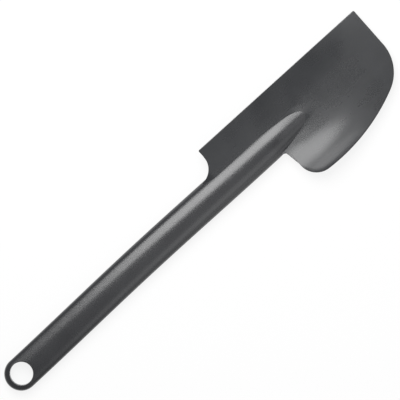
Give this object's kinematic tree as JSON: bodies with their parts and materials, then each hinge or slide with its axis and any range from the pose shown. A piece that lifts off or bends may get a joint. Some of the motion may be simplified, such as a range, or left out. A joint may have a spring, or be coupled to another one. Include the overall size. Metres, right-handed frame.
{
  "type": "heat-resistant spatula",
  "caption": "Heat-resistant kitchen spatula: an oval handle with a hanging eye runs as a spine into a dished, flexible blade with a straight edge and a rounded lobe.",
  "frame": {"origin": "under the middle of the part's box, on the surface that it lies on", "axes": "+X from the hanging eye to the blade's end, +Y towards the blade's straight edge, +Z out of the front face"},
  "size_m": [0.2638, 0.0532, 0.0092],
  "materials": {
    "handle_polyamide": "satin dark grey glass-filled polyamide, finely spark-textured",
    "blade_silicone": "satin dark grey heat-resistant silicone"
  },
  "bodies": {
    "root": {"handle": "handle_polyamide", "blade": "blade_silicone"}
  },
  "joints": []
}
